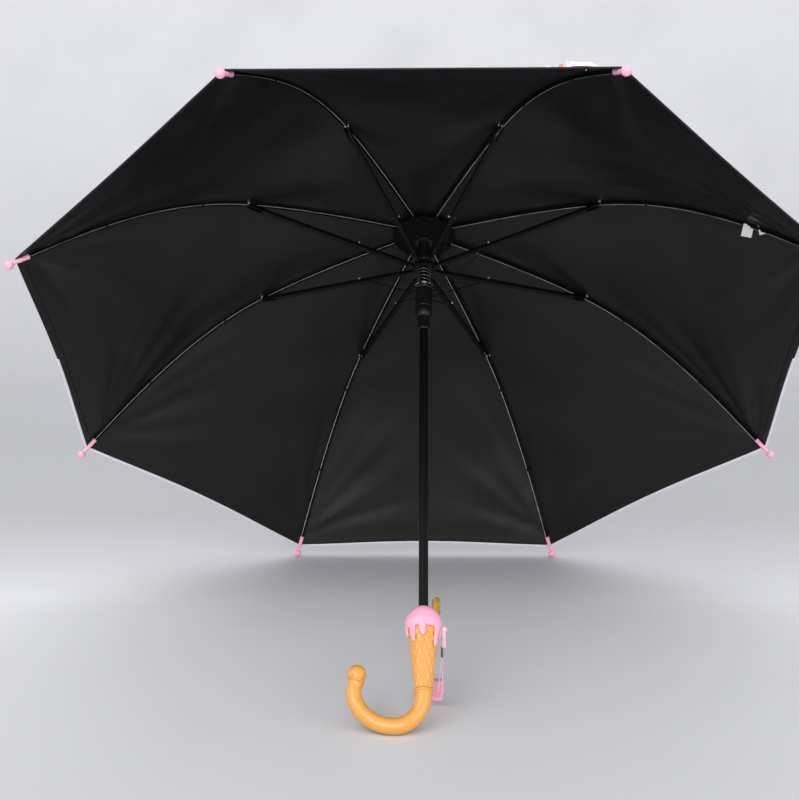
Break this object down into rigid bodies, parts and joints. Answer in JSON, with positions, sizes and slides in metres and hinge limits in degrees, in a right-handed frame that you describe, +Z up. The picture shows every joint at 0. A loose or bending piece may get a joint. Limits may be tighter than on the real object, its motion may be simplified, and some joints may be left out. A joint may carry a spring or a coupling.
{
  "type": "children's stick umbrella",
  "caption": "Open stick umbrella with a cone-shaped hook handle, dripping cap, sliding runner, folding rib linkage, push button and a hanging whistle.",
  "frame": {"origin": "middle of the footprint, on the floor under the open umbrella as it lies on its hook and its two far rib tips", "axes": "+Z up from the floor; +X across the open canopy, its longest extent; +Y from the handle towards the crown, so the shaft leans up and away along +Y and +Z"},
  "size_m": [0.7974, 0.5696, 0.5691],
  "materials": {
    "black_steel": "satin black enamel",
    "black_plastic": "satin moulded",
    "spring_steel": "drawn wire",
    "canopy_fabric": "pale print outside, black coating inside",
    "pink_plastic": "glossy moulded",
    "wafer_plastic": "glossy moulded",
    "gold_metal": "gold plated",
    "pink_textile": "woven tape and cord",
    "dark_metal": "dark crimped steel"
  },
  "bodies": {
    "handle": {"shaft_tube": "black_steel", "top_notch": "black_plastic", "hub_patch": "canopy_fabric", "ferrule": "black_plastic", "waffle_cone": "wafer_plastic", "icing_cap": "pink_plastic", "handle_hook": "wafer_plastic", "button_spring": "spring_steel"},
    "rib_arm_1": {"rib_1": "black_steel", "rib_tip_1": "pink_plastic", "canopy_panel_1": "canopy_fabric"},
    "rib_arm_2": {"rib_2": "black_steel", "rib_tip_2": "pink_plastic", "canopy_panel_2": "canopy_fabric"},
    "rib_arm_3": {"rib_3": "black_steel", "rib_tip_3": "pink_plastic", "canopy_panel_3": "canopy_fabric"},
    "rib_arm_4": {"rib_4": "black_steel", "rib_tip_4": "pink_plastic", "canopy_panel_4": "canopy_fabric"},
    "rib_arm_5": {"rib_5": "black_steel", "rib_tip_5": "pink_plastic", "canopy_panel_5": "canopy_fabric"},
    "rib_arm_6": {"rib_6": "black_steel", "rib_tip_6": "pink_plastic", "canopy_panel_6": "canopy_fabric"},
    "rib_arm_7": {"rib_7": "black_steel", "rib_tip_7": "pink_plastic", "canopy_panel_7": "canopy_fabric"},
    "rib_arm_8": {"rib_8": "black_steel", "rib_tip_8": "pink_plastic", "canopy_panel_8": "canopy_fabric"},
    "stretcher_arm_1": {"stretcher_1": "black_steel"},
    "stretcher_arm_2": {"stretcher_2": "black_steel"},
    "stretcher_arm_3": {"stretcher_3": "black_steel"},
    "stretcher_arm_4": {"stretcher_4": "black_steel"},
    "stretcher_arm_5": {"stretcher_5": "black_steel"},
    "stretcher_arm_6": {"stretcher_6": "black_steel"},
    "stretcher_arm_7": {"stretcher_7": "black_steel"},
    "stretcher_arm_8": {"stretcher_8": "black_steel"},
    "collar": {"stretcher_collar": "black_plastic", "opening_spring": "spring_steel"},
    "runner_sleeve": {"runner": "black_plastic"},
    "wire_arm_1": {"wire_1": "black_steel"},
    "wire_arm_2": {"wire_2": "black_steel"},
    "wire_arm_3": {"wire_3": "black_steel"},
    "wire_arm_4": {"wire_4": "black_steel"},
    "wire_arm_5": {"wire_5": "black_steel"},
    "wire_arm_6": {"wire_6": "black_steel"},
    "wire_arm_7": {"wire_7": "black_steel"},
    "wire_arm_8": {"wire_8": "black_steel"},
    "button": {"release_button": "gold_metal"},
    "lanyard": {"lanyard_tape": "pink_textile", "lanyard_crimp": "dark_metal", "lanyard_cord": "pink_textile", "whistle": "pink_plastic"}
  },
  "joints": [
    {"name": "rib_1_fold", "type": "hinge", "parent": "handle", "child": "rib_arm_1", "pos_m": [0.01109, 0.13365, 0.4102], "axis": [-0.3827, 0.6519, -0.6547], "range_deg": [0, 64], "stiffness_Nm_per_rad": 2, "springref_deg": -45.84, "deforming": ["canopy_panel_1"]},
    {"name": "rib_2_fold", "type": "hinge", "parent": "handle", "child": "rib_arm_2", "pos_m": [0.00459, 0.13823, 0.4056], "axis": [-0.9239, 0.27, -0.2712], "range_deg": [0, 64], "deforming": ["canopy_panel_2"]},
    {"name": "rib_3_fold", "type": "hinge", "parent": "handle", "child": "rib_arm_3", "pos_m": [-0.00459, 0.13823, 0.4056], "axis": [-0.9239, -0.27, 0.2712], "range_deg": [0, 64], "deforming": ["canopy_panel_3"]},
    {"name": "rib_4_fold", "type": "hinge", "parent": "handle", "child": "rib_arm_4", "pos_m": [-0.01109, 0.13365, 0.4102], "axis": [-0.3827, -0.6519, 0.6547], "range_deg": [0, 64], "deforming": ["canopy_panel_4"]},
    {"name": "rib_5_fold", "type": "hinge", "parent": "handle", "child": "rib_arm_5", "pos_m": [-0.01109, 0.12717, 0.41671], "axis": [0.3827, -0.6519, 0.6547], "range_deg": [0, 64], "deforming": ["canopy_panel_5"]},
    {"name": "rib_6_fold", "type": "hinge", "parent": "handle", "child": "rib_arm_6", "pos_m": [-0.00459, 0.12259, 0.42131], "axis": [0.9239, -0.27, 0.2712], "range_deg": [0, 64], "deforming": ["canopy_panel_6"]},
    {"name": "rib_7_fold", "type": "hinge", "parent": "handle", "child": "rib_arm_7", "pos_m": [0.00459, 0.12259, 0.42131], "axis": [0.9239, 0.27, -0.2712], "range_deg": [0, 64], "deforming": ["canopy_panel_7"]},
    {"name": "rib_8_fold", "type": "hinge", "parent": "handle", "child": "rib_arm_8", "pos_m": [0.01109, 0.12717, 0.41671], "axis": [0.3827, 0.6519, -0.6547], "range_deg": [0, 64], "deforming": ["canopy_panel_8"]},
    {"name": "stretcher_1_pivot", "type": "hinge", "parent": "rib_arm_1", "child": "stretcher_arm_1", "pos_m": [0.18814, 0.17014, 0.34304], "axis": [-0.3827, 0.6519, -0.6547], "range_deg": [-129, 0]},
    {"name": "stretcher_2_pivot", "type": "hinge", "parent": "rib_arm_2", "child": "stretcher_arm_2", "pos_m": [0.07793, 0.24791, 0.26495], "axis": [-0.9239, 0.27, -0.2712], "range_deg": [-129, 0]},
    {"name": "stretcher_3_pivot", "type": "hinge", "parent": "rib_arm_3", "child": "stretcher_arm_3", "pos_m": [-0.07793, 0.24791, 0.26495], "axis": [-0.9239, -0.27, 0.2712], "range_deg": [-129, 0]},
    {"name": "stretcher_4_pivot", "type": "hinge", "parent": "rib_arm_4", "child": "stretcher_arm_4", "pos_m": [-0.18814, 0.17014, 0.34304], "axis": [-0.3827, -0.6519, 0.6547], "range_deg": [-129, 0]},
    {"name": "stretcher_5_pivot", "type": "hinge", "parent": "rib_arm_5", "child": "stretcher_arm_5", "pos_m": [-0.18814, 0.06017, 0.45349], "axis": [0.3827, -0.6519, 0.6547], "range_deg": [-129, 0]},
    {"name": "stretcher_6_pivot", "type": "hinge", "parent": "rib_arm_6", "child": "stretcher_arm_6", "pos_m": [-0.07793, -0.0176, 0.53159], "axis": [0.9239, -0.27, 0.2712], "range_deg": [-129, 0]},
    {"name": "stretcher_7_pivot", "type": "hinge", "parent": "rib_arm_7", "child": "stretcher_arm_7", "pos_m": [0.07793, -0.0176, 0.53159], "axis": [0.9239, 0.27, -0.2712], "range_deg": [-129, 0]},
    {"name": "stretcher_8_pivot", "type": "hinge", "parent": "rib_arm_8", "child": "stretcher_arm_8", "pos_m": [0.18814, 0.06017, 0.45349], "axis": [0.3827, 0.6519, -0.6547], "range_deg": [-129, 0]},
    {"name": "collar_pivot", "type": "hinge", "parent": "stretcher_arm_1", "child": "collar", "pos_m": [0.01109, 0.10314, 0.37982], "axis": [-0.3827, 0.6519, -0.6547], "range_deg": [0, 65]},
    {"name": "runner_travel", "type": "slide", "parent": "collar", "child": "runner_sleeve", "axis": [0, 0.7086, 0.7056], "range_m": [0, 0.02325], "deforming": ["opening_spring"]},
    {"name": "wire_1_pivot", "type": "hinge", "parent": "stretcher_arm_1", "child": "wire_arm_1", "pos_m": [0.07159, 0.12604, 0.36726], "axis": [-0.3827, 0.6519, -0.6547], "range_deg": [0, 24.2]},
    {"name": "wire_2_pivot", "type": "hinge", "parent": "stretcher_arm_2", "child": "wire_arm_2", "pos_m": [0.02965, 0.15563, 0.33754], "axis": [-0.9239, 0.27, -0.2712], "range_deg": [0, 24.2]},
    {"name": "wire_3_pivot", "type": "hinge", "parent": "stretcher_arm_3", "child": "wire_arm_3", "pos_m": [-0.02965, 0.15563, 0.33754], "axis": [-0.9239, -0.27, 0.2712], "range_deg": [0, 24.2]},
    {"name": "wire_4_pivot", "type": "hinge", "parent": "stretcher_arm_4", "child": "wire_arm_4", "pos_m": [-0.07159, 0.12604, 0.36726], "axis": [-0.3827, -0.6519, 0.6547], "range_deg": [0, 24.2]},
    {"name": "wire_5_pivot", "type": "hinge", "parent": "stretcher_arm_5", "child": "wire_arm_5", "pos_m": [-0.07159, 0.08419, 0.40928], "axis": [0.3827, -0.6519, 0.6547], "range_deg": [0, 24.2]},
    {"name": "wire_6_pivot", "type": "hinge", "parent": "stretcher_arm_6", "child": "wire_arm_6", "pos_m": [-0.02965, 0.0546, 0.439], "axis": [0.9239, -0.27, 0.2712], "range_deg": [0, 24.2]},
    {"name": "wire_7_pivot", "type": "hinge", "parent": "stretcher_arm_7", "child": "wire_arm_7", "pos_m": [0.02965, 0.0546, 0.439], "axis": [0.9239, 0.27, -0.2712], "range_deg": [0, 24.2]},
    {"name": "wire_8_pivot", "type": "hinge", "parent": "stretcher_arm_8", "child": "wire_arm_8", "pos_m": [0.07159, 0.08419, 0.40928], "axis": [0.3827, 0.6519, -0.6547], "range_deg": [0, 24.2]},
    {"name": "button_press", "type": "slide", "parent": "handle", "child": "button", "axis": [0, -0.7086, -0.7056], "range_m": [0, 0.0025], "stiffness_N_per_m": 400, "springref_m": -0.0005, "deforming": ["button_spring"]},
    {"name": "lanyard_swing", "type": "hinge", "parent": "handle", "child": "lanyard", "pos_m": [0.0188, -0.21193, 0.07257], "axis": [1, 0, 0], "range_deg": [-30, 45]}
  ],
  "couplings": [
    {"joint": "rib_2_fold", "follows": "rib_1_fold", "ratio": 1},
    {"joint": "rib_3_fold", "follows": "rib_1_fold", "ratio": 1},
    {"joint": "rib_4_fold", "follows": "rib_1_fold", "ratio": 1},
    {"joint": "rib_5_fold", "follows": "rib_1_fold", "ratio": 1},
    {"joint": "rib_6_fold", "follows": "rib_1_fold", "ratio": 1},
    {"joint": "rib_7_fold", "follows": "rib_1_fold", "ratio": 1},
    {"joint": "rib_8_fold", "follows": "rib_1_fold", "ratio": 1},
    {"joint": "stretcher_1_pivot", "follows": "rib_1_fold", "ratio": -2},
    {"joint": "stretcher_2_pivot", "follows": "rib_1_fold", "ratio": -2},
    {"joint": "stretcher_3_pivot", "follows": "rib_1_fold", "ratio": -2},
    {"joint": "stretcher_4_pivot", "follows": "rib_1_fold", "ratio": -2},
    {"joint": "stretcher_5_pivot", "follows": "rib_1_fold", "ratio": -2},
    {"joint": "stretcher_6_pivot", "follows": "rib_1_fold", "ratio": -2},
    {"joint": "stretcher_7_pivot", "follows": "rib_1_fold", "ratio": -2},
    {"joint": "stretcher_8_pivot", "follows": "rib_1_fold", "ratio": -2},
    {"joint": "collar_pivot", "follows": "rib_1_fold", "ratio": 1},
    {"joint": "runner_travel", "follows": "rib_1_fold", "m_per_rad": 0.020371},
    {"joint": "wire_1_pivot", "follows": "rib_1_fold", "ratio": 0.36255},
    {"joint": "wire_2_pivot", "follows": "rib_1_fold", "ratio": 0.36255},
    {"joint": "wire_3_pivot", "follows": "rib_1_fold", "ratio": 0.36255},
    {"joint": "wire_4_pivot", "follows": "rib_1_fold", "ratio": 0.36255},
    {"joint": "wire_5_pivot", "follows": "rib_1_fold", "ratio": 0.36255},
    {"joint": "wire_6_pivot", "follows": "rib_1_fold", "ratio": 0.36255},
    {"joint": "wire_7_pivot", "follows": "rib_1_fold", "ratio": 0.36255},
    {"joint": "wire_8_pivot", "follows": "rib_1_fold", "ratio": 0.36255}
  ]
}
